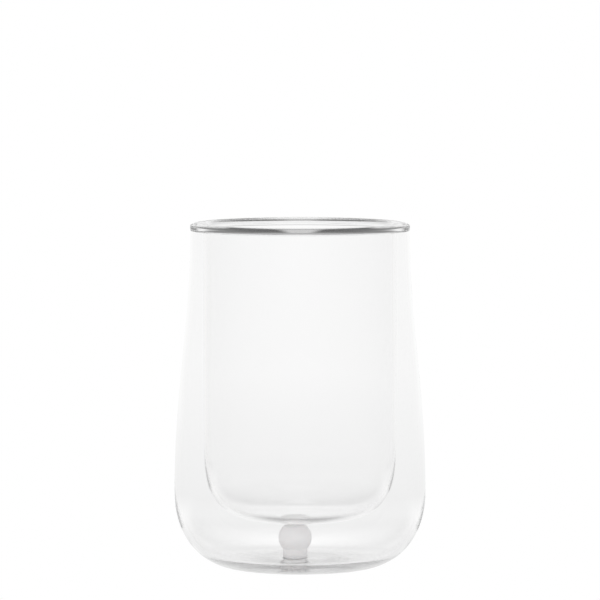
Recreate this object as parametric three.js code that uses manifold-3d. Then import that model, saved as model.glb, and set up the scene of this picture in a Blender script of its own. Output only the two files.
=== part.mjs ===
// A double-walled drinking glass, without a handle.
// Two blown walls are fused at the rim, and a soft plug closes the vent hole in the base.
// Millimetres, +Z up. The origin is on the axis of the glass, at the level of the table.
import * as THREE from "three";
import { mergeVertices } from "three/addons/utils/BufferGeometryUtils.js";
import Module from "manifold-3d";

// Whole glass
const HEIGHT = 120; // table to the crest of the rim
const NECK_RADIUS = 38; // outside, just under the rim
const BELLY_SWELL = 5.6; // how much wider the belly is than the neck, on each side
const BELLY_HEIGHT = 27; // height of the widest part

// Outer wall
const OUTER_WALL = 1.2; // thickness at the side
const HEEL_WALL = 1.5; // thickness at the heel
const BASE_WALL = 2.1; // thickness over the foot
const HEEL_HEIGHT = 4.6; // height at which the heel has thinned
const DOME_RISE = 1; // how much thicker the base is round the plug
const DOME_RADIUS = 20; // where that extra thickness has run out
const DOME_MARGIN = 1; // level top of the base outside the collar of the plug
const FOOT_RADIUS = 22; // outer edge of the flat ring that stands on the table
const FOOT_WIDTH = 3.5; // width of that ring
const PUNT_DEPTH = 0.1; // rise of the middle of the base above the table
const HEEL_ALONG = 0.34; // pull of the heel curve along the table, as a share of its width
const HEEL_UP = 0.79; // pull of the heel curve down from the belly, as a share of its height
const BELLY_PULL = 0.385; // pull of the side curve up from the belly, as a share of its height
const NECK_PULL = 0.35; // pull of the side curve down from the rim

// Inner wall
const AIR_GAP = 3.2; // clear space between the two walls at the rim
const INNER_WALL = 1; // thickness at the side
const FLOOR_WALL = 1.4; // thickness at the middle of the floor
const LIP_WALL = 1.65; // thickness under the rim
const LIP_RUN = 75; // seam at the rim down to where the wall is thin
const LINER_TAPER = 0.4; // how much narrower the wall is at its shoulder, on each side
const SHOULDER_RISE = 24; // height of the bend between the floor and the side
const FLOOR_ALONG = 0.58; // pull of that bend along the floor, as a share of its width
const SHOULDER_DOWN = 1; // pull of that bend down from the shoulder, as a share of its height

// Fused rim
const SEAM_DEPTH = 2.55; // crest of the rim down to where it joins the two walls
const RIM_BULGE = 0.17; // how far the bead stands out from the outer wall
const CREST_PLACE = 0.56; // place of the crest, as a share of the way from the mouth outwards
const CREST_OUTSIDE = 1.48; // height of the round outer side of the crest
const CREST_INSIDE = 1.88; // height of its round inner side
const CREST_WALL = 1.22; // glass from the crest down to the air gap

// Vent hole and its plug
const VENT_OFFSET = 1.7; // middle of the hole beside the axis, towards -X
const VENT_BORE = 7; // diameter of the hole in the base
const FIT_GAP = 0.3; // clearance of the stem in the hole
const COLLAR_OVERLAP = 0.8; // how far the collar reaches past the hole, on each side
const COLLAR_HEIGHT = 2.6; // top of the base up to the ball
const HEAD_OVERLAP = 1.5; // how far the ball reaches past the collar, on each side
const HEAD_CUT = 1.3; // height of the cap taken off the ball
const HEAD_FILLET = 0.5; // rounding at the edge of the flat top
const HEAD_ROOM = 1.5; // flat top up to the underside of the inner floor
const STEM_FILLET = 0.4; // rounding at the lower end of the stem
const TABLE_GAP = 0.3; // clear space under the stem

// Facets
const TURN_STEPS = 48;
const PLUG_STEPS = 32;

// Sizes that follow from the ones above
const SEAM_HEIGHT = HEIGHT - SEAM_DEPTH;
const BELLY_RADIUS = NECK_RADIUS + BELLY_SWELL;
const GAP_OUTER_RADIUS = NECK_RADIUS - OUTER_WALL;
const LINER_MOUTH_RADIUS = GAP_OUTER_RADIUS - AIR_GAP;
const LINER_RADIUS = LINER_MOUTH_RADIUS - LINER_TAPER;
const MOUTH_RADIUS = LINER_MOUTH_RADIUS - LIP_WALL;
const VENT_RADIUS = VENT_BORE / 2;
const COLLAR_RADIUS = VENT_RADIUS + COLLAR_OVERLAP;
const HEAD_RADIUS = COLLAR_RADIUS + HEAD_OVERLAP;
const DOME_FLAT_RADIUS = VENT_OFFSET + COLLAR_RADIUS + DOME_MARGIN;
const SEAT_HEIGHT = PUNT_DEPTH + BASE_WALL + DOME_RISE; // top of the base, under the collar
const HEAD_HEIGHT = SEAT_HEIGHT + COLLAR_HEIGHT + Math.sqrt(HEAD_RADIUS ** 2 - COLLAR_RADIUS ** 2);
const HEAD_TOP = HEAD_HEIGHT + HEAD_RADIUS - HEAD_CUT;
const LINER_HEIGHT = HEAD_TOP + HEAD_ROOM;
const SHOULDER_HEIGHT = LINER_HEIGHT + SHOULDER_RISE;

const { lerp, smoothstep, degToRad, radToDeg } = THREE.MathUtils;
const wasm = await Module();
wasm.setup();

const at = (radius, height) => new THREE.Vector2(radius, height);

// A cubic curve in the section, as a list of points.
function bend(start, startPull, endPull, end, steps) {
  return new THREE.CubicBezierCurve(start, startPull, endPull, end).getPoints(steps);
}

// A bend that leaves its start level and reaches its end upright.
function corner(start, end, along, down, steps) {
  const levelPull = at(lerp(start.x, end.x, along), start.y);
  const uprightPull = at(end.x, lerp(end.y, start.y, down));
  return bend(start, levelPull, uprightPull, end, steps);
}

// A bend that is upright at both ends.
function flare(start, end, startShare, endShare, steps) {
  const startPull = at(start.x, lerp(start.y, end.y, startShare));
  const endPull = at(end.x, lerp(end.y, start.y, endShare));
  return bend(start, startPull, endPull, end, steps);
}

// A stretch of an ellipse in the section, with its angles in degrees from the outward direction.
function arc(centre, across, up, from, to, steps) {
  const clockwise = to < from;
  const curve = new THREE.EllipseCurve(
    centre.x, centre.y, across, up, degToRad(from), degToRad(to), clockwise,
  );
  return curve.getPoints(steps);
}

// Stretches of a section joined end to end, with the points that meet kept once.
function chain(...stretches) {
  const closeness = 1e-6;
  const apart = (p, i, all) => i === 0 || p.distanceTo(all[i - 1]) > closeness;
  return stretches.flat().filter(apart);
}

// The other face of a wall, to the left of its section, which runs from the axis to the rim.
// The point on the axis stays on it, and the one at the rim keeps its height.
function otherFace(face, thicknessAt) {
  const last = face.length - 1;
  return face.map((point, i) => {
    const along = face[Math.min(i + 1, last)].clone().sub(face[Math.max(i - 1, 0)]);
    const normal = at(-along.y, along.x).normalize();
    if (i === 0) normal.set(0, 1);
    if (i === last) normal.set(-1, 0);
    return point.clone().addScaledVector(normal, thicknessAt(point));
  });
}

// A section turned about the Z axis.
function turned(section, steps) {
  return new THREE.LatheGeometry(section, steps).rotateX(Math.PI / 2);
}

function solidOf(geometry) {
  const bare = geometry.clone().deleteAttribute("normal").deleteAttribute("uv");
  const merged = mergeVertices(bare);
  const mesh = new wasm.Mesh({
    numProp: 3,
    vertProperties: merged.getAttribute("position").array,
    triVerts: new Uint32Array(merged.index.array),
  });
  return new wasm.Manifold(mesh);
}

function geometryOf(solid) {
  const { vertProperties, triVerts } = solid.getMesh();
  return new THREE.BufferGeometry()
    .setAttribute("position", new THREE.BufferAttribute(vertProperties, 3))
    .setIndex(new THREE.BufferAttribute(triVerts, 1));
}

const glass = new THREE.MeshStandardMaterial({
  color: 0xf4f8f8,
  roughness: 0.03,
  metalness: 0,
  transparent: true,
  opacity: 0.3,
});
const silicone = new THREE.MeshStandardMaterial({
  color: 0xdedbdb,
  roughness: 0.55,
  metalness: 0,
});

// The outer wall stands on a flat ring round a nearly level underside.
// Its base is thickest round the vent hole, and the heel thins quickly towards the side.
function outerWall() {
  const footInnerRadius = FOOT_RADIUS - FOOT_WIDTH;
  const puntMiddle = (DOME_FLAT_RADIUS + footInnerRadius) / 2;
  const belly = at(BELLY_RADIUS, BELLY_HEIGHT);
  const face = chain(
    [at(0, PUNT_DEPTH)],
    bend(
      at(DOME_FLAT_RADIUS, PUNT_DEPTH),
      at(puntMiddle, PUNT_DEPTH),
      at(puntMiddle, 0),
      at(footInnerRadius, 0),
      6,
    ),
    corner(at(FOOT_RADIUS, 0), belly, HEEL_ALONG, HEEL_UP, 12),
    flare(belly, at(NECK_RADIUS, SEAM_HEIGHT), BELLY_PULL, NECK_PULL, 9),
  );
  const thicknessAt = (point) => {
    const dome = DOME_RISE * (1 - smoothstep(point.x, DOME_FLAT_RADIUS, DOME_RADIUS));
    const heel = lerp(BASE_WALL, HEEL_WALL, smoothstep(point.y, PUNT_DEPTH, HEEL_HEIGHT));
    return dome + lerp(heel, OUTER_WALL, smoothstep(point.y, HEEL_HEIGHT, BELLY_HEIGHT));
  };
  const section = [...face, ...otherFace(face, thicknessAt).reverse()];
  const vent = new THREE.CylinderGeometry(VENT_RADIUS, VENT_RADIUS, BELLY_HEIGHT, PLUG_STEPS)
    .rotateX(Math.PI / 2)
    .translate(-VENT_OFFSET, 0, 0);
  const solid = solidOf(turned(section, TURN_STEPS)).subtract(solidOf(vent));
  return new THREE.Mesh(geometryOf(solid), glass);
}

// The inner wall is the cup that holds the drink. It is thin, and thickens towards the rim.
function innerWall() {
  const shoulder = at(LINER_RADIUS, SHOULDER_HEIGHT);
  const mouth = at(LINER_MOUTH_RADIUS, SEAM_HEIGHT);
  const face = chain(
    corner(at(0, LINER_HEIGHT), shoulder, FLOOR_ALONG, SHOULDER_DOWN, 14),
    new THREE.LineCurve(shoulder, mouth).getPoints(8),
  );
  const thicknessAt = (point) => {
    const rise = smoothstep(point.y, LINER_HEIGHT, SHOULDER_HEIGHT);
    const lip = smoothstep(point.y, SEAM_HEIGHT - LIP_RUN, SEAM_HEIGHT);
    return lerp(lerp(FLOOR_WALL, INNER_WALL, rise), LIP_WALL, lip);
  };
  const section = [...face, ...otherFace(face, thicknessAt).reverse()];
  return new THREE.Mesh(turned(section, TURN_STEPS), glass);
}

// The rim closes the air gap: its two legs stand on the walls, and an arch joins them over the gap.
function rimBead() {
  const rimRadius = NECK_RADIUS + RIM_BULGE;
  const crestRadius = lerp(MOUTH_RADIUS, rimRadius, CREST_PLACE);
  const outside = at(crestRadius, HEIGHT - CREST_OUTSIDE);
  const inside = at(crestRadius, HEIGHT - CREST_INSIDE);
  const gap = at((GAP_OUTER_RADIUS + LINER_MOUTH_RADIUS) / 2, SEAM_HEIGHT);
  const section = chain(
    flare(at(NECK_RADIUS, SEAM_HEIGHT), at(rimRadius, outside.y), 0.5, 0.5, 4),
    arc(outside, rimRadius - crestRadius, CREST_OUTSIDE, 0, 90, 8),
    arc(inside, crestRadius - MOUTH_RADIUS, CREST_INSIDE, 90, 180, 8),
    [at(MOUTH_RADIUS, SEAM_HEIGHT)],
    arc(gap, AIR_GAP / 2, SEAM_DEPTH - CREST_WALL, 180, 0, 8),
  );
  return new THREE.Mesh(turned([...section, section[0]], TURN_STEPS), glass);
}

// The plug is a stem in the hole, a collar that rests on the base and a ball in the air gap.
// Its section starts under the stem and is turned about the middle of the hole.
function ventPlug() {
  const stemRadius = VENT_RADIUS - FIT_GAP;
  const collarAngle = -radToDeg(Math.acos(COLLAR_RADIUS / HEAD_RADIUS));
  const filletHeight = HEAD_TOP - HEAD_FILLET;
  const filletReach = Math.sqrt(
    (HEAD_RADIUS - HEAD_FILLET) ** 2 - (filletHeight - HEAD_HEIGHT) ** 2,
  );
  const topAngle = radToDeg(Math.atan2(filletHeight - HEAD_HEIGHT, filletReach));
  const stemEdge = at(stemRadius - STEM_FILLET, TABLE_GAP + STEM_FILLET);
  const section = chain(
    [at(0, TABLE_GAP)],
    arc(stemEdge, STEM_FILLET, STEM_FILLET, -90, 0, 3),
    [at(stemRadius, SEAT_HEIGHT), at(COLLAR_RADIUS, SEAT_HEIGHT)],
    arc(at(0, HEAD_HEIGHT), HEAD_RADIUS, HEAD_RADIUS, collarAngle, topAngle, 12),
    arc(at(filletReach, filletHeight), HEAD_FILLET, HEAD_FILLET, topAngle, 90, 3),
    [at(0, HEAD_TOP)],
  );
  const plug = new THREE.Mesh(turned(section, PLUG_STEPS), silicone);
  plug.position.x = -VENT_OFFSET;
  return plug;
}

const pieces = {
  outer_wall: outerWall(),
  inner_wall: innerWall(),
  rim_bead: rimBead(),
  vent_plug: ventPlug(),
};
const part = new THREE.Group();
for (const [name, mesh] of Object.entries(pieces)) {
  mesh.name = name;
  part.add(mesh);
}

export default part;
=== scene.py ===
"""A double-walled drinking glass with a soft vent plug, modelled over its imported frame.

Lengths are in metres. +Z is up, and the origin is on the axis of the glass at table level.
"""

import math

import bpy
from bpy.props import FloatProperty, FloatVectorProperty, IntProperty, PointerProperty
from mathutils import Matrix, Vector
from mathutils.geometry import interpolate_bezier


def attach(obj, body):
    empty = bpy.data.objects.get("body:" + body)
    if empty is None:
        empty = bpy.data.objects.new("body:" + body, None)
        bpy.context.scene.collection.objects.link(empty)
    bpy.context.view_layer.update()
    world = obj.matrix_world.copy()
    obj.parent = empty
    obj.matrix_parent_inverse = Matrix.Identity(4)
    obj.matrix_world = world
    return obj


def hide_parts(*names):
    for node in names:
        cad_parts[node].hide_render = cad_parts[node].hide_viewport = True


bl_info = {
    "name": "Double-walled glass",
    "version": (1, 0, 0),
    "blender": (4, 5, 0),
    "location": "View3D > Sidebar > Glass",
    "description": "Models a double-walled drinking glass, its vent plug and a studio stage",
    "category": "Add Mesh",
}

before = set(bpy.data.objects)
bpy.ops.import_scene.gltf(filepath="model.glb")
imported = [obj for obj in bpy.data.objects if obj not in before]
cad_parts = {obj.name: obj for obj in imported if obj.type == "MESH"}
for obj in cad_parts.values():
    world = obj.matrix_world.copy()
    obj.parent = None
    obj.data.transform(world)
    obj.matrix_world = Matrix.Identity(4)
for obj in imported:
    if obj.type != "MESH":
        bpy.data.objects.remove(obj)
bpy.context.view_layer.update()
MM = 0.001

# Lengths and shares below the first count as nothing. Vertices closer than the second are merged.
TINY = 1e-7
WELD = 1e-6

# Keeps a distance that is divided by from being zero.
GUARD = 1e-12

# Straight steps that each stretch of a section, and a round hole or floor, is drawn with.
LEVEL_STEPS = 30
PUNT_STEPS = 20
HEEL_STEPS = 44
SIDE_STEPS = 36
SHOULDER_STEPS = 48
LINER_STEPS = 40
RIM_LEG_STEPS = 12
CREST_STEPS = 36
GAP_STEPS = 20
BALL_STEPS = 40
FILLET_STEPS = 8
ROUND_STEPS = 96

# Light from the room by the height above the horizon, in degrees.
ROOM_LIGHT = {
    "back": (
        (0, 0.99),
        (8, 0.9),
        (15, 0.98),
        (20, 0.82),
        (26, 0.45),
        (32, 0.25),
        (46, 0.08),
        (62, 0.25),
        (90, 0.5),
    ),
    "wings": ((0, 0.99), (8, 0.35), (18, 0.05), (46, 0.0), (62, 0.05), (90, 0.5)),
    "sides": ((0, 0.76), (12, 0.65), (35, 0.55), (62, 0.45), (90, 0.5)),
    "front": ((0, 0.86), (12, 0.7), (35, 0.8), (62, 0.95), (90, 0.5)),
}

# Where the back of the room fades into its wings, as a share of the way to the side.
WING_FADE = (0.2, 0.6)

# Where the lamp fades, in degrees above the horizon and as a share of the way to the side.
LAMP_LOWER_FADE = (32.0, 40.0)
LAMP_UPPER_FADE = (56.0, 66.0)
LAMP_SIDE_FADE = (0.03, 0.08)

# Painted light and shade on the floor, by the distance from the axis of the glass, in millimetres:
# the floor glows by these levels, and the low levels near the axis are a painted contact shadow
# under the base and the plug.
FLOOR_PAINTED_LIGHT = {
    "back": ((12, 0.46), (24, 0.83), (40, 1.06), (60, 1.0), (100, 0.87), (250, 0.9), (1000, 0.99)),
    "sides": ((12, 0.46), (24, 0.83), (40, 0.84), (60, 0.87), (100, 1.1), (250, 0.8), (1000, 0.76)),
    "front": ((12, 0.46), (24, 0.83), (40, 1.25), (60, 1.1), (100, 1.0), (250, 0.78), (1000, 0.86)),
}

FLOOR_RADIUS = 60.0
FLOOR_DROP = 0.2 * MM
VIEW_END = 200.0

# Width of the camera's sensor, in millimetres.
SENSOR_WIDTH = 36.0

# Light that runs along inside a wall meets its faces many times before it leaves the glass.
LIGHT_BOUNCES = 58


def length(name, description, millimetres):
    return FloatProperty(
        name=name,
        description=description,
        default=millimetres * MM,
        unit="LENGTH",
        precision=5,
    )


def share(name, description, default):
    return FloatProperty(
        name=name, description=description, default=default, min=0.0, max=1.0, subtype="FACTOR"
    )


def colour(name, description, default):
    return FloatVectorProperty(
        name=name, description=description, default=default, min=0.0, max=1.0, subtype="COLOR"
    )


def amount(name, description, default):
    return FloatProperty(name=name, description=description, default=default, min=0.0)


class GlassSizes(bpy.types.PropertyGroup):
    """Sizes of the two walls and of the rim that joins them"""

    height: length("Height", "Table to the crest of the rim", 120)
    neck_radius: length("Neck radius", "Outside, just under the rim", 38)
    belly_swell: length("Belly swell", "How much wider the belly is than the neck", 5.6)
    belly_height: length("Belly height", "Height of the widest part", 27)
    outer_wall: length("Outer wall", "Thickness of the outer wall at its side", 1.2)
    base_wall: length("Base", "Thickness of the outer wall at the foot", 2.1)
    heel_wall: length("Heel", "Thickness of the outer wall at the heel", 1.5)
    heel_height: length("Heel height", "Height at which the heel has thinned", 4.6)
    foot_radius: length("Foot radius", "Outer edge of the ring on the table", 22)
    foot_width: length("Foot width", "Width of the ring on the table", 3.5)
    punt_depth: length("Punt depth", "Rise of the middle of the base", 0.1)
    punt_level: share("Punt level", "Share of the base inside the ring that is level", 0.5)
    dome_rise: length("Dome rise", "Extra thickness in the middle of the base", 1.0)
    dome_margin: length("Dome margin", "Its level top outside the collar of the plug", 1.0)
    dome_radius: length("Dome radius", "Radius at which the extra thickness ends", 20)
    heel_along: share("Heel along", "Pull of the heel curve along the table", 0.34)
    heel_up: share("Heel up", "Pull of the heel curve down from the belly", 0.79)
    belly_pull: share("Belly pull", "Pull of the side curve up from the belly", 0.385)
    neck_pull: share("Neck pull", "Pull of the side curve down from the rim", 0.35)
    air_gap: length("Air gap", "Clear space between the walls at the rim", 3.2)
    inner_wall: length("Inner wall", "Thickness of the inner wall at its side", 1.0)
    floor_wall: length("Inner floor", "Thickness of the inner wall in its floor", 1.4)
    lip_wall: length("Inner lip", "Thickness of the inner wall under the rim", 1.65)
    lip_run: length("Lip run", "Rim down to where the inner wall is thin", 75)
    liner_taper: length("Inner taper", "How much the inner wall narrows downwards", 0.4)
    shoulder_rise: length("Shoulder rise", "Height of the bend round the inner floor", 24)
    floor_along: share("Floor along", "Pull of that bend along the floor", 0.58)
    shoulder_down: share("Shoulder down", "Pull of that bend down from the side", 1.0)
    seam_depth: length("Seam depth", "Crest of the rim down to the walls", 2.55)
    seam_root: length("Seam root", "How far the rim reaches down into the walls", 0.05)
    seam_inset: length("Seam inset", "How far it stays inside their faces there", 0.03)
    rim_bulge: length("Rim bulge", "How far the rim stands out", 0.17)
    crest_place: share("Crest place", "Place of the crest, from the mouth to the outside", 0.56)
    crest_outside: length("Crest outside", "Height of the round outer side of the crest", 1.48)
    crest_inside: length("Crest inside", "Height of the round inner side of the crest", 2.4)
    crest_squareness: amount("Crest squareness", "Power of the curve: 1 is an ellipse", 0.91)
    crest_wall: length("Crest wall", "Glass from the crest down to the air gap", 1.22)
    gap_inside: length("Gap inside", "Height of the round inner side of the gap's top", 0.9)
    turn_steps: IntProperty(name="Turn steps", description="Faces round the glass", default=160)


class PlugSizes(bpy.types.PropertyGroup):
    """Sizes of the vent hole and of the plug in it"""

    vent_offset: length("Vent offset", "Middle of the hole beside the axis", 1.7)
    vent_bore: length("Vent bore", "Diameter of the hole in the base", 7.0)
    squeeze: length("Squeeze", "How far the soft neck presses into the hole", 0.03)
    collar_overlap: length("Collar overlap", "How far the collar reaches past the hole", 0.8)
    collar_height: length("Collar height", "Base up to the ball", 2.6)
    head_overlap: length("Head overlap", "How far the ball reaches past the collar", 1.5)
    head_cut: length("Head cut", "Height of the cap taken off the ball", 1.3)
    head_fillet: length("Head fillet", "Rounding at the edge of the flat top", 0.5)
    head_room: length("Head room", "Flat top up to the inner floor", 1.5)
    stem_fillet: length("Stem fillet", "Rounding at the lower end of the stem", 0.4)
    table_gap: length("Table gap", "Clear space under the stem", 0.3)
    plug_steps: IntProperty(name="Plug steps", description="Faces round the plug", default=96)


class Finish(bpy.types.PropertyGroup):
    """Colours and surface of the glass and the plug"""

    glass_colour: colour("Glass", "Colour of the clear glass", (0.998, 0.998, 0.998))
    glass_index: amount("Glass index", "Index of refraction of the glass", 1.47)
    silicone_colour: colour("Silicone", "Colour of the plug", (1.0, 0.98, 0.983))
    silicone_shade: colour("Silicone shade", "Its darker mottling", (0.965, 0.94, 0.945))


class StageSettings(bpy.types.PropertyGroup):
    """Camera, floor and light"""

    camera_distance: length("Camera distance", "Axis of the glass to the camera", 2010)
    camera_height: length("Camera height", "Table to the camera", 229)
    aim_height: length("Aim height", "Height on the axis in the middle of the picture", 93.1)
    focal_length: amount("Focal length", "Millimetres, on a 36 mm sensor", 348.45)
    lamp_light: amount("Lamp light", "Light of the long lamp on the ceiling", 0.48)


def section_point(radius, height):
    return Vector((radius, 0.0, height))


def line(start, end, steps):
    """A straight stretch of the section, as a list of points."""
    return [start.lerp(end, i / steps) for i in range(steps + 1)]


def bend(start, start_pull, end_pull, end, steps):
    """A cubic curve in the section, as a list of points."""
    return [p.copy() for p in interpolate_bezier(start, start_pull, end_pull, end, steps + 1)]


def corner(start, end, along, down, steps):
    """A bend that leaves its start level and reaches its end upright."""
    level_pull = section_point(start.x + (end.x - start.x) * along, start.z)
    upright_pull = section_point(end.x, end.z + (start.z - end.z) * down)
    return bend(start, level_pull, upright_pull, end, steps)


def flare(start, end, start_share, end_share, steps):
    """A bend that is upright at both ends."""
    start_pull = section_point(start.x, start.z + (end.z - start.z) * start_share)
    end_pull = section_point(end.x, end.z + (start.z - end.z) * end_share)
    return bend(start, start_pull, end_pull, end, steps)


def arc(centre, radii, angles, steps, squareness=1.0):
    """A stretch of an ellipse in the section, by its angles in degrees from the outward side."""
    across, up = radii
    start, end = angles
    turns = (math.radians(start + (end - start) * i / steps) for i in range(steps + 1))
    return [
        section_point(
            centre.x + across * swell(math.cos(turn), squareness),
            centre.z + up * swell(math.sin(turn), squareness),
        )
        for turn in turns
    ]


def swell(value, squareness):
    """A cosine or sine raised to a power with its sign kept: below 1, an ellipse gets fuller."""
    return math.copysign(abs(value) ** squareness if abs(value) > TINY else 0.0, value)


def chain(*stretches):
    """Stretches of a section joined end to end, with the points that meet kept once."""
    points = []
    for point in (p for stretch in stretches for p in stretch):
        if not points or (point - points[-1]).length > TINY:
            points.append(point)
    return points


def smooth_share(value, low, high):
    t = min(max((value - low) / (high - low), 0.0), 1.0)
    return t * t * (3.0 - 2.0 * t)


def other_face(face, thickness_at):
    """The other face of a wall whose section runs from the axis to the rim."""
    last = len(face) - 1
    made = []
    for i, point in enumerate(face):
        along = face[min(i + 1, last)] - face[max(i - 1, 0)]
        normal = section_point(-along.z, along.x).normalized()
        if i == 0:
            normal = section_point(0.0, 1.0)
        if i == last:
            normal = section_point(-1.0, 0.0)
        made.append(point + normal * thickness_at(point))
    return made


def turned_piece(name, section, steps, axis_x=0.0):
    """Draws a section by extruding one vertex from point to point, and spins it about the axis."""
    bpy.ops.object.select_all(action="DESELECT")
    bpy.ops.mesh.primitive_plane_add(size=MM, location=(0.0, 0.0, 0.0))
    piece = bpy.context.object
    piece.name = piece.data.name = name
    bpy.ops.object.mode_set(mode="EDIT")
    bpy.ops.mesh.select_all(action="SELECT")
    bpy.ops.mesh.merge(type="CENTER")
    bpy.ops.transform.translate(value=section[0] + Vector((axis_x, 0.0, 0.0)))
    for here, there in zip(section, section[1:]):
        bpy.ops.mesh.extrude_region_move(TRANSFORM_OT_translate={"value": there - here})
    bpy.ops.mesh.select_all(action="SELECT")
    bpy.ops.mesh.spin(
        steps=steps, angle=math.tau, center=(axis_x, 0.0, 0.0), axis=(0.0, 0.0, 1.0)
    )
    bpy.ops.mesh.select_all(action="SELECT")
    bpy.ops.mesh.remove_doubles(threshold=WELD)
    bpy.ops.mesh.normals_make_consistent(inside=False)
    bpy.ops.object.mode_set(mode="OBJECT")
    return piece


def smooth(piece, degrees=40.0):
    bpy.ops.object.select_all(action="DESELECT")
    piece.select_set(True)
    bpy.context.view_layer.objects.active = piece
    bpy.ops.object.shade_smooth_by_angle(angle=math.radians(degrees))


def settle(piece, node, material):
    """Gives a finished piece its material and its place in the frame."""
    smooth(piece)
    piece.data.materials.clear()
    piece.data.materials.append(material)
    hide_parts(node)
    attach(piece, "root")


class Wire:
    """One value in a node tree, so that node maths reads as plain arithmetic."""

    def __init__(self, board, socket):
        self.board = board
        self.socket = socket

    def maths(self, operation, first, second):
        return self.board.node("ShaderNodeMath", {"operation": operation}, {0: first, 1: second})

    def __add__(self, other):
        return self.maths("ADD", self, other)

    __radd__ = __add__

    def __sub__(self, other):
        return self.maths("SUBTRACT", self, other)

    def __rsub__(self, other):
        return self.maths("SUBTRACT", other, self)

    def __mul__(self, other):
        return self.maths("MULTIPLY", self, other)

    __rmul__ = __mul__

    def __truediv__(self, other):
        return self.maths("DIVIDE", self, other)

    def __rtruediv__(self, other):
        return self.maths("DIVIDE", other, self)

    def __pow__(self, other):
        return self.maths("POWER", self, other)


class Board:
    """The node tree of one material or of the world."""

    def __init__(self, tree):
        self.tree = tree
        self.tree.nodes.clear()

    def node(self, kind, settings=None, inputs=None, output=0):
        """Adds a node, sets it, feeds its sockets and returns one of its outputs."""
        made = self.tree.nodes.new(kind)
        for key, value in (settings or {}).items():
            if key == "stops":
                self.set_stops(made.color_ramp, value)
            else:
                setattr(made, key, value)
        for key, value in (inputs or {}).items():
            if isinstance(value, Wire):
                self.tree.links.new(value.socket, made.inputs[key])
            else:
                made.inputs[key].default_value = value
        if output is None:
            return None
        return Wire(self, made.outputs[output])

    @staticmethod
    def set_stops(ramp, stops):
        while len(ramp.elements) > 1:
            ramp.elements.remove(ramp.elements[-1])
        for i, (place, value) in enumerate(stops):
            element = ramp.elements[0] if i == 0 else ramp.elements.new(place)
            element.position = place
            element.color = (value, value, value, 1.0)

    def noise(self, place, scale, detail, roughness=0.5):
        return self.node(
            "ShaderNodeTexNoise",
            inputs={"Vector": place, "Scale": scale, "Detail": detail, "Roughness": roughness},
        )

    def ramp(self, value, *stops):
        return self.node("ShaderNodeValToRGB", {"stops": stops}, {"Fac": value})

    def step(self, value, low, high):
        """0 at the low value and 1 at the high one, with a smooth rise between them."""
        return self.node(
            "ShaderNodeMapRange",
            {"interpolation_type": "SMOOTHSTEP"},
            {"Value": value, "From Min": low, "From Max": high},
        )

    def axes(self, vector):
        return [self.node("ShaderNodeSeparateXYZ", inputs={0: vector}, output=k) for k in "XYZ"]

    def above(self, value, limit):
        return self.node("ShaderNodeMath", {"operation": "GREATER_THAN"}, {0: value, 1: limit})

    def profile(self, value, stops):
        """A value that runs straight from stop to stop."""
        far = stops[-1][0]
        most = max(level for _, level in stops)
        return self.ramp(value / far, *((at / far, level / most) for at, level in stops)) * most

    def surround(self, across, away, value, table):
        """A value from the profiles of the back, its wings, the sides and the front, by direction.

        A table without wings has its back there as well.
        """
        reach = across * across + away * away + GUARD
        abreast = across * across / reach
        along = away * away / reach
        behind = self.above(away, 0.0)
        wide = self.step(abreast**0.5, *WING_FADE)
        parts = {
            "back": along * behind * (1.0 - wide),
            "wings": along * behind * wide,
            "sides": abreast,
            "front": along * (1.0 - behind),
        }
        profiles = {"wings": table["back"], **table}
        return sum(self.profile(value, profiles[name]) * part for name, part in parts.items())


def new_board(name):
    material = bpy.data.materials.new(name)
    material.use_nodes = True
    return material, Board(material.node_tree)


def clear_glass():
    """Blown glass: clear and polished, faintly wavy, and scuffed where it stands on the table."""
    existing = bpy.data.materials.get("blown_glass")
    if existing:
        return existing
    look = bpy.context.scene.glass_finish
    material, board = new_board("blown_glass")
    place = board.node("ShaderNodeTexCoord", output="Object")
    height = board.node("ShaderNodeSeparateXYZ", inputs={0: place}, output="Z")
    waves = board.noise(place, scale=38.0, detail=1.0)
    bumps = board.node(
        "ShaderNodeBump",
        inputs={"Height": waves, "Strength": 0.12, "Distance": 0.04 * MM},
    )
    foot = board.ramp(height / MM, (0.0, 1.0), (0.25, 1.0), (0.6, 0.0))
    scratches = board.noise(place, scale=900.0, detail=4.0, roughness=0.7)
    scuffs = board.ramp(scratches, (0.42, 0.0), (0.62, 1.0))
    shader = board.node(
        "ShaderNodeBsdfPrincipled",
        inputs={
            "Base Color": (*look.glass_colour, 1.0),
            "Roughness": foot * (scuffs * 0.22 + 0.06),
            "IOR": look.glass_index,
            "Transmission Weight": 1.0,
            "Normal": bumps,
        },
    )
    board.node("ShaderNodeOutputMaterial", inputs={"Surface": shader}, output=None)
    return material


def pale_silicone():
    """Moulded silicone: pale, slightly translucent, with a fine satin grain."""
    look = bpy.context.scene.glass_finish
    material, board = new_board("pale_silicone")
    place = board.node("ShaderNodeTexCoord", output="Object")
    patches = board.noise(place, scale=260.0, detail=3.0, roughness=0.6)
    mottle = board.ramp(patches, (0.35, 0.0), (0.75, 1.0))
    grain = board.noise(place, scale=5200.0, detail=2.0, roughness=0.6)
    # Inputs 6 and 7 of a Mix node are its two colours, and output 2 is their mix.
    tone = board.node(
        "ShaderNodeMix",
        {"data_type": "RGBA"},
        {"Factor": mottle, 6: (*look.silicone_colour, 1.0), 7: (*look.silicone_shade, 1.0)},
        output=2,
    )
    bumps = board.node(
        "ShaderNodeBump", inputs={"Height": grain, "Strength": 0.5, "Distance": 0.02 * MM}
    )
    shader = board.node(
        "ShaderNodeBsdfPrincipled",
        inputs={
            "Base Color": tone,
            "Roughness": mottle * 0.12 + 0.46,
            "IOR": 1.41,
            "Subsurface Weight": 0.15,
            "Subsurface Radius": (1.0, 0.9, 0.85),
            "Subsurface Scale": 1.2 * MM,
            "Normal": bumps,
        },
    )
    board.node("ShaderNodeOutputMaterial", inputs={"Surface": shader}, output=None)
    return material


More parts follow.
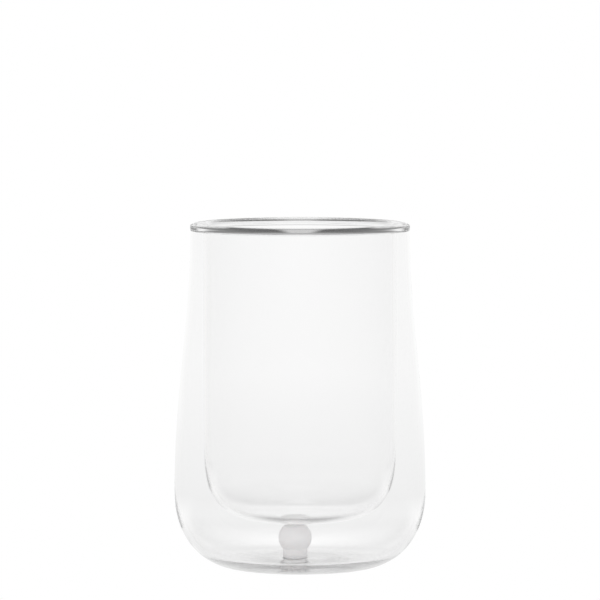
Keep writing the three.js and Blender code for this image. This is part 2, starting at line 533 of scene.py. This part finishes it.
class Measures:
    """Radii and heights that follow from the sizes."""

    def __init__(self, scene):
        glass, plug = scene.glass_sizes, scene.plug_sizes
        self.seam = glass.height - glass.seam_depth
        self.belly_radius = glass.neck_radius + glass.belly_swell
        self.gap_outer_radius = glass.neck_radius - glass.outer_wall
        self.liner_mouth_radius = self.gap_outer_radius - glass.air_gap
        self.liner_radius = self.liner_mouth_radius - glass.liner_taper
        self.mouth_radius = self.liner_mouth_radius - glass.lip_wall
        self.vent_radius = plug.vent_bore / 2
        self.collar_radius = self.vent_radius + plug.collar_overlap
        self.head_radius = self.collar_radius + plug.head_overlap
        self.dome_flat = plug.vent_offset + self.collar_radius + glass.dome_margin
        self.seat = glass.punt_depth + glass.base_wall + glass.dome_rise
        self.collar_top = self.seat + plug.collar_height
        self.head_height = self.collar_top + math.sqrt(
            self.head_radius**2 - self.collar_radius**2
        )
        self.head_top = self.head_height + self.head_radius - plug.head_cut
        self.liner_height = self.head_top + plug.head_room
        self.shoulder_height = self.liner_height + glass.shoulder_rise


class TUMBLER_OT_outer_wall(bpy.types.Operator):
    """Model the outer wall: belly, heel, foot ring and raised base with its vent hole"""

    bl_idname = "tumbler.outer_wall"
    bl_label = "Outer wall"

    def execute(self, context):
        sizes, plug = context.scene.glass_sizes, context.scene.plug_sizes
        m = Measures(context.scene)
        foot_inner = sizes.foot_radius - sizes.foot_width
        level_radius = foot_inner * sizes.punt_level
        punt_middle = (level_radius + foot_inner) / 2
        middle = section_point(0.0, sizes.punt_depth)
        level_end = section_point(level_radius, sizes.punt_depth)
        foot = section_point(sizes.foot_radius, 0.0)
        belly = section_point(m.belly_radius, sizes.belly_height)
        neck = section_point(sizes.neck_radius, m.seam)
        face = chain(
            line(middle, level_end, LEVEL_STEPS),
            bend(
                level_end,
                section_point(punt_middle, sizes.punt_depth),
                section_point(punt_middle, 0.0),
                section_point(foot_inner, 0.0),
                PUNT_STEPS,
            ),
            corner(foot, belly, sizes.heel_along, sizes.heel_up, HEEL_STEPS),
            flare(belly, neck, sizes.belly_pull, sizes.neck_pull, SIDE_STEPS),
        )

        def thickness_at(point):
            heel = smooth_share(point.z, sizes.punt_depth, sizes.heel_height)
            side = smooth_share(point.z, sizes.heel_height, sizes.belly_height)
            slope = smooth_share(point.x, m.dome_flat, sizes.dome_radius)
            wall = sizes.base_wall + (sizes.heel_wall - sizes.base_wall) * heel
            wall += (sizes.outer_wall - sizes.heel_wall) * side
            return wall + sizes.dome_rise * (1.0 - slope)

        section = face + other_face(face, thickness_at)[::-1]
        wall = turned_piece("glass_outer_wall", section, sizes.turn_steps)
        self.cut_vent(wall, -plug.vent_offset, m.vent_radius, sizes.belly_height)
        settle(wall, "outer_wall", clear_glass())
        return {"FINISHED"}

    @staticmethod
    def cut_vent(wall, place_x, radius, depth):
        bpy.ops.object.select_all(action="DESELECT")
        bpy.ops.mesh.primitive_cylinder_add(
            vertices=ROUND_STEPS, radius=radius, depth=depth, location=(place_x, 0.0, 0.0)
        )
        cutter = bpy.context.object
        bpy.ops.object.select_all(action="DESELECT")
        wall.select_set(True)
        bpy.context.view_layer.objects.active = wall
        bpy.ops.object.modifier_add(type="BOOLEAN")
        wall.modifiers[-1].object = cutter
        wall.modifiers[-1].operation = "DIFFERENCE"
        bpy.ops.object.modifier_apply(modifier=wall.modifiers[-1].name)
        bpy.data.objects.remove(cutter)


class TUMBLER_OT_inner_wall(bpy.types.Operator):
    """Model the inner wall, the cup that holds the drink"""

    bl_idname = "tumbler.inner_wall"
    bl_label = "Inner wall"

    def execute(self, context):
        sizes = context.scene.glass_sizes
        m = Measures(context.scene)
        middle = section_point(0.0, m.liner_height)
        shoulder = section_point(m.liner_radius, m.shoulder_height)
        mouth = section_point(m.liner_mouth_radius, m.seam)
        face = chain(
            corner(middle, shoulder, sizes.floor_along, sizes.shoulder_down, SHOULDER_STEPS),
            line(shoulder, mouth, LINER_STEPS),
        )

        def thickness_at(point):
            side = smooth_share(point.z, m.liner_height, m.shoulder_height)
            lip = smooth_share(point.z, m.seam - sizes.lip_run, m.seam)
            wall = sizes.floor_wall + (sizes.inner_wall - sizes.floor_wall) * side
            return wall + (sizes.lip_wall - sizes.inner_wall) * lip

        section = face + other_face(face, thickness_at)[::-1]
        cup = turned_piece("glass_inner_wall", section, sizes.turn_steps)
        settle(cup, "inner_wall", clear_glass())
        return {"FINISHED"}


class TUMBLER_OT_rim_bead(bpy.types.Operator):
    """Model the rounded rim where the two walls are fused"""

    bl_idname = "tumbler.rim_bead"
    bl_label = "Rim bead"

    def execute(self, context):
        sizes = context.scene.glass_sizes
        m = Measures(context.scene)
        root = m.seam - sizes.seam_root
        inset = sizes.seam_inset
        rim_radius = sizes.neck_radius + sizes.rim_bulge
        crest_radius = m.mouth_radius + (rim_radius - m.mouth_radius) * sizes.crest_place
        outside = section_point(crest_radius, sizes.height - sizes.crest_outside)
        inside = section_point(crest_radius, sizes.height - sizes.crest_inside)
        outside_radii = (rim_radius - crest_radius, sizes.crest_outside)
        inside_radii = (crest_radius - m.mouth_radius, sizes.crest_inside)
        neck = section_point(sizes.neck_radius, m.seam)
        rim_side = section_point(rim_radius, outside.z)
        gap_radius = (m.gap_outer_radius + m.liner_mouth_radius) / 2
        gap_top = sizes.height - sizes.crest_wall
        gap_inner = section_point(gap_radius, gap_top - sizes.gap_inside)
        gap_outer = section_point(gap_radius, m.seam)
        gap_inner_radii = (sizes.air_gap / 2, sizes.gap_inside)
        gap_outer_radii = (sizes.air_gap / 2, gap_top - m.seam)
        section = chain(
            [section_point(sizes.neck_radius - inset, root)],
            flare(neck, rim_side, 0.5, 0.5, RIM_LEG_STEPS),
            arc(outside, outside_radii, (0, 90), CREST_STEPS, sizes.crest_squareness),
            arc(inside, inside_radii, (90, 180), CREST_STEPS, sizes.crest_squareness),
            [section_point(m.mouth_radius, m.seam)],
            [section_point(m.mouth_radius + inset, root)],
            [section_point(m.liner_mouth_radius - inset, root)],
            [section_point(m.liner_mouth_radius, m.seam)],
            arc(gap_inner, gap_inner_radii, (180, 90), GAP_STEPS),
            arc(gap_outer, gap_outer_radii, (90, 0), GAP_STEPS),
            [section_point(m.gap_outer_radius + inset, root)],
        )
        rim = turned_piece("glass_rim_bead", section + section[:1], sizes.turn_steps)
        settle(rim, "rim_bead", clear_glass())
        return {"FINISHED"}


class TUMBLER_OT_vent_plug(bpy.types.Operator):
    """Model the soft plug: ball and collar in the air gap, stem through the hole"""

    bl_idname = "tumbler.vent_plug"
    bl_label = "Vent plug"

    def execute(self, context):
        plug = context.scene.plug_sizes
        m = Measures(context.scene)
        stem_radius = m.vent_radius + plug.squeeze
        collar_angle = -math.degrees(math.acos(m.collar_radius / m.head_radius))
        fillet_height = m.head_top - plug.head_fillet
        fillet_rise = fillet_height - m.head_height
        fillet_reach = math.sqrt((m.head_radius - plug.head_fillet) ** 2 - fillet_rise**2)
        top_angle = math.degrees(math.atan2(fillet_rise, fillet_reach))
        end = section_point(stem_radius - plug.stem_fillet, plug.table_gap + plug.stem_fillet)
        ball = section_point(0.0, m.head_height)
        edge = section_point(fillet_reach, fillet_height)
        ball_angles = (collar_angle, top_angle)
        section = chain(
            [section_point(0.0, plug.table_gap)],
            arc(end, (plug.stem_fillet, plug.stem_fillet), (-90, 0), FILLET_STEPS),
            [section_point(stem_radius, m.seat)],
            [section_point(m.collar_radius, m.seat)],
            arc(ball, (m.head_radius, m.head_radius), ball_angles, BALL_STEPS),
            arc(edge, (plug.head_fillet, plug.head_fillet), (top_angle, 90), FILLET_STEPS),
            [section_point(0.0, m.head_top)],
        )
        stopper = turned_piece("silicone_vent_plug", section, plug.plug_steps, -plug.vent_offset)
        settle(stopper, "vent_plug", pale_silicone())
        return {"FINISHED"}


class TUMBLER_OT_stage(bpy.types.Operator):
    """Set the white floor with its painted contact shadow under the glass, the soft light and the
    camera
    """

    bl_idname = "tumbler.stage"
    bl_label = "Stage"

    def execute(self, context):
        stage = context.scene.glass_stage
        self.lay_floor()
        self.light_room(context.scene, stage)
        self.place_camera(context.scene, stage)
        self.set_picture(context.scene)
        return {"FINISHED"}

    @staticmethod
    def lay_floor():
        bpy.ops.object.select_all(action="DESELECT")
        bpy.ops.mesh.primitive_circle_add(
            vertices=ROUND_STEPS,
            radius=FLOOR_RADIUS,
            fill_type="NGON",
            location=(0.0, 0.0, -FLOOR_DROP),
        )
        floor = bpy.context.object
        floor.name = floor.data.name = "floor"
        material, board = new_board("white_floor_with_painted_shadow")
        place = board.node("ShaderNodeTexCoord", output="Object")
        across, away, _ = board.axes(place)
        reach = (across * across + away * away) ** 0.5 / MM
        # Painted light and a painted contact shadow: rays that come through the glass see the floor
        # glow by these levels, while the camera sees it plain white.
        light = board.surround(across, away, reach, FLOOR_PAINTED_LIGHT)
        painted_light_and_shadow = board.node("ShaderNodeEmission", inputs={"Color": light})
        blank = board.node("ShaderNodeEmission", inputs={"Color": (1.0, 1.0, 1.0, 1.0)})
        direct = board.node("ShaderNodeLightPath", output="Is Camera Ray")
        surface = board.node("ShaderNodeMixShader", inputs={0: direct, 1: painted_light_and_shadow, 2: blank})
        board.node("ShaderNodeOutputMaterial", inputs={"Surface": surface}, output=None)
        floor.data.materials.append(material)

    @staticmethod
    def light_room(scene, stage):
        world = bpy.data.worlds.new("white_room")
        scene.world = world
        world.use_nodes = True
        board = Board(world.node_tree)
        way = board.node("ShaderNodeTexCoord", output="Generated")
        across, away, up = board.axes(way)
        rise = board.node("ShaderNodeMath", {"operation": "ARCSINE"}, {0: up}) * math.degrees(1.0)
        sideways = board.node("ShaderNodeMath", {"operation": "ABSOLUTE"}, {0: across})
        lamp = board.step(rise, *LAMP_LOWER_FADE) * (1.0 - board.step(rise, *LAMP_UPPER_FADE))
        lamp = lamp * (1.0 - board.step(sideways, *LAMP_SIDE_FADE)) * board.above(away, 0.0)
        light = board.surround(across, away, rise, ROOM_LIGHT)
        light = light + lamp * stage.lamp_light
        sky = board.node("ShaderNodeBackground", inputs={"Color": light, "Strength": 1.0})
        board.node("ShaderNodeOutputWorld", inputs={"Surface": sky}, output=None)

    @staticmethod
    def place_camera(scene, stage):
        bpy.ops.object.select_all(action="DESELECT")
        drop = math.atan2(stage.camera_height - stage.aim_height, stage.camera_distance)
        bpy.ops.object.camera_add(
            location=(0.0, -stage.camera_distance, stage.camera_height),
            rotation=(math.pi / 2 - drop, 0.0, 0.0),
        )
        camera = bpy.context.object
        camera.name = "camera"
        camera.data.sensor_width = SENSOR_WIDTH
        camera.data.lens = stage.focal_length
        camera.data.clip_end = VIEW_END
        scene.camera = camera

    @staticmethod
    def set_picture(scene):
        scene.view_settings.view_transform = "Standard"
        scene.cycles.blur_glossy = 0.0
        for path in ("max", "transmission", "glossy", "transparent_max"):
            setattr(scene.cycles, path + "_bounces", LIGHT_BOUNCES)


class TUMBLER_PT_glass(bpy.types.Panel):
    """Sizes and steps of the glass"""

    bl_label = "Double-walled glass"
    bl_space_type = "VIEW_3D"
    bl_region_type = "UI"
    bl_category = "Glass"

    def draw(self, context):
        for operator in OPERATORS:
            self.layout.operator(operator.bl_idname)
        for group in SETTINGS:
            box = self.layout.box()
            for key in SETTINGS[group].__annotations__:
                box.prop(getattr(context.scene, group), key)


SETTINGS = {
    "glass_sizes": GlassSizes,
    "plug_sizes": PlugSizes,
    "glass_finish": Finish,
    "glass_stage": StageSettings,
}
OPERATORS = (
    TUMBLER_OT_outer_wall,
    TUMBLER_OT_inner_wall,
    TUMBLER_OT_rim_bead,
    TUMBLER_OT_vent_plug,
    TUMBLER_OT_stage,
)
CLASSES = (*SETTINGS.values(), *OPERATORS, TUMBLER_PT_glass)


def register():
    for cls in CLASSES:
        bpy.utils.register_class(cls)
    for group, cls in SETTINGS.items():
        setattr(bpy.types.Scene, group, PointerProperty(type=cls))


def unregister():
    for group in SETTINGS:
        delattr(bpy.types.Scene, group)
    for cls in reversed(CLASSES):
        bpy.utils.unregister_class(cls)


def main():
    register()
    bpy.ops.tumbler.outer_wall()
    bpy.ops.tumbler.inner_wall()
    bpy.ops.tumbler.rim_bead()
    bpy.ops.tumbler.vent_plug()
    bpy.ops.tumbler.stage()


if __name__ == "__main__":
    main()
